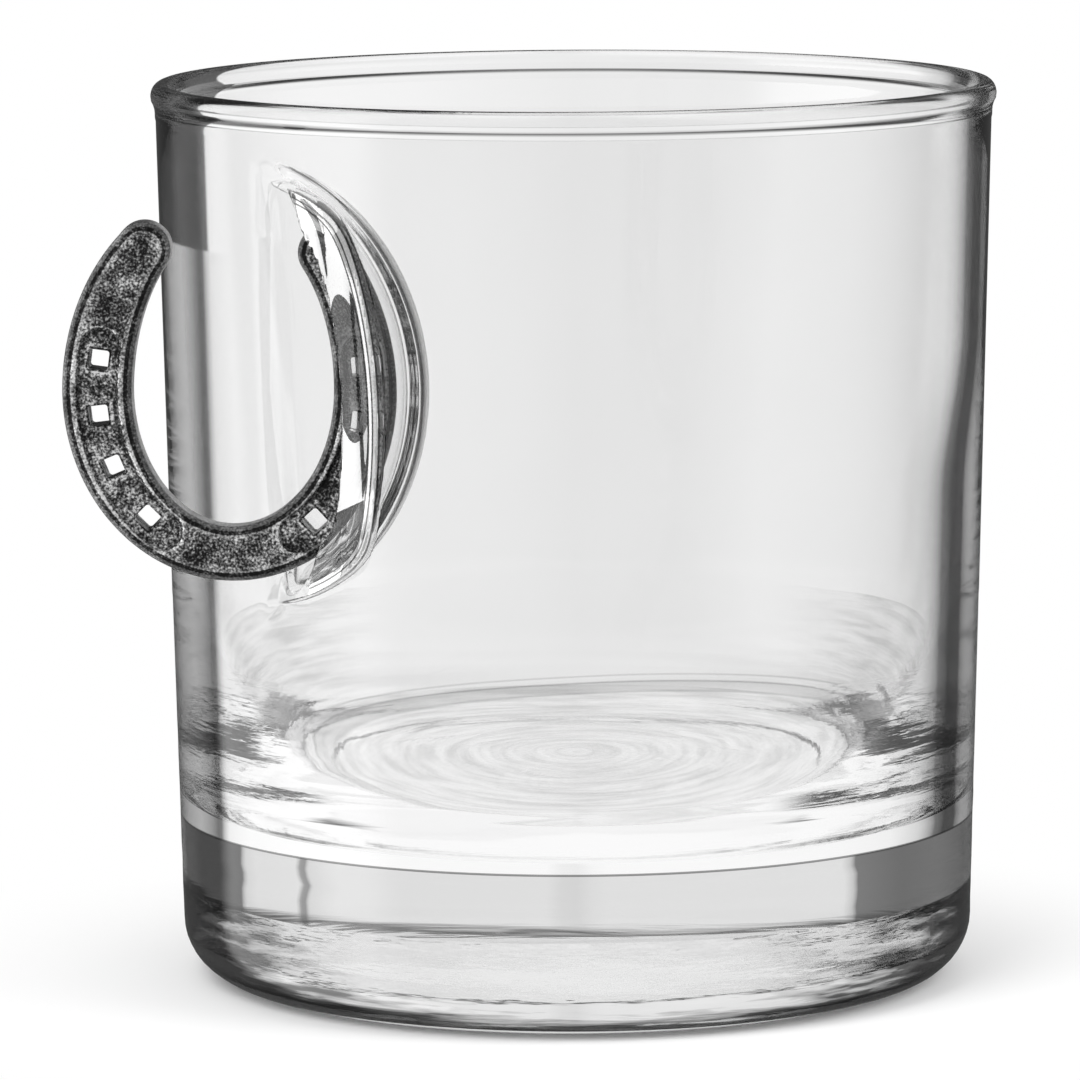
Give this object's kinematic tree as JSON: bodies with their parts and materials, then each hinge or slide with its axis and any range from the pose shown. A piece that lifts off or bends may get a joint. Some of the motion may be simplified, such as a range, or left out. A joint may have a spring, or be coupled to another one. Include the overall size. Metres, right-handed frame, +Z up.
{
  "type": "rocks glass",
  "caption": "Clear heavy-based rocks glass with a rolled rim and a small antiqued metal horseshoe bonded into a pocket in its wall, for drinks served over ice.",
  "frame": {"origin": "centre of the flat underside, on the glass axis", "axes": "+Z up along the glass axis; the horseshoe stands parallel to the XZ plane on the -X -Y side, with its face towards -Y"},
  "size_m": [0.0893, 0.0834, 0.089],
  "materials": {
    "clear_glass": "clear, fire-polished",
    "antiqued_metal": "antiqued, dark speckle in the recesses and bright worn edges",
    "clear_bond": "clear, cured"
  },
  "bodies": {
    "root": {"glass_tumbler": "clear_glass", "horseshoe": "antiqued_metal", "clear_adhesive": "clear_bond"}
  },
  "joints": []
}
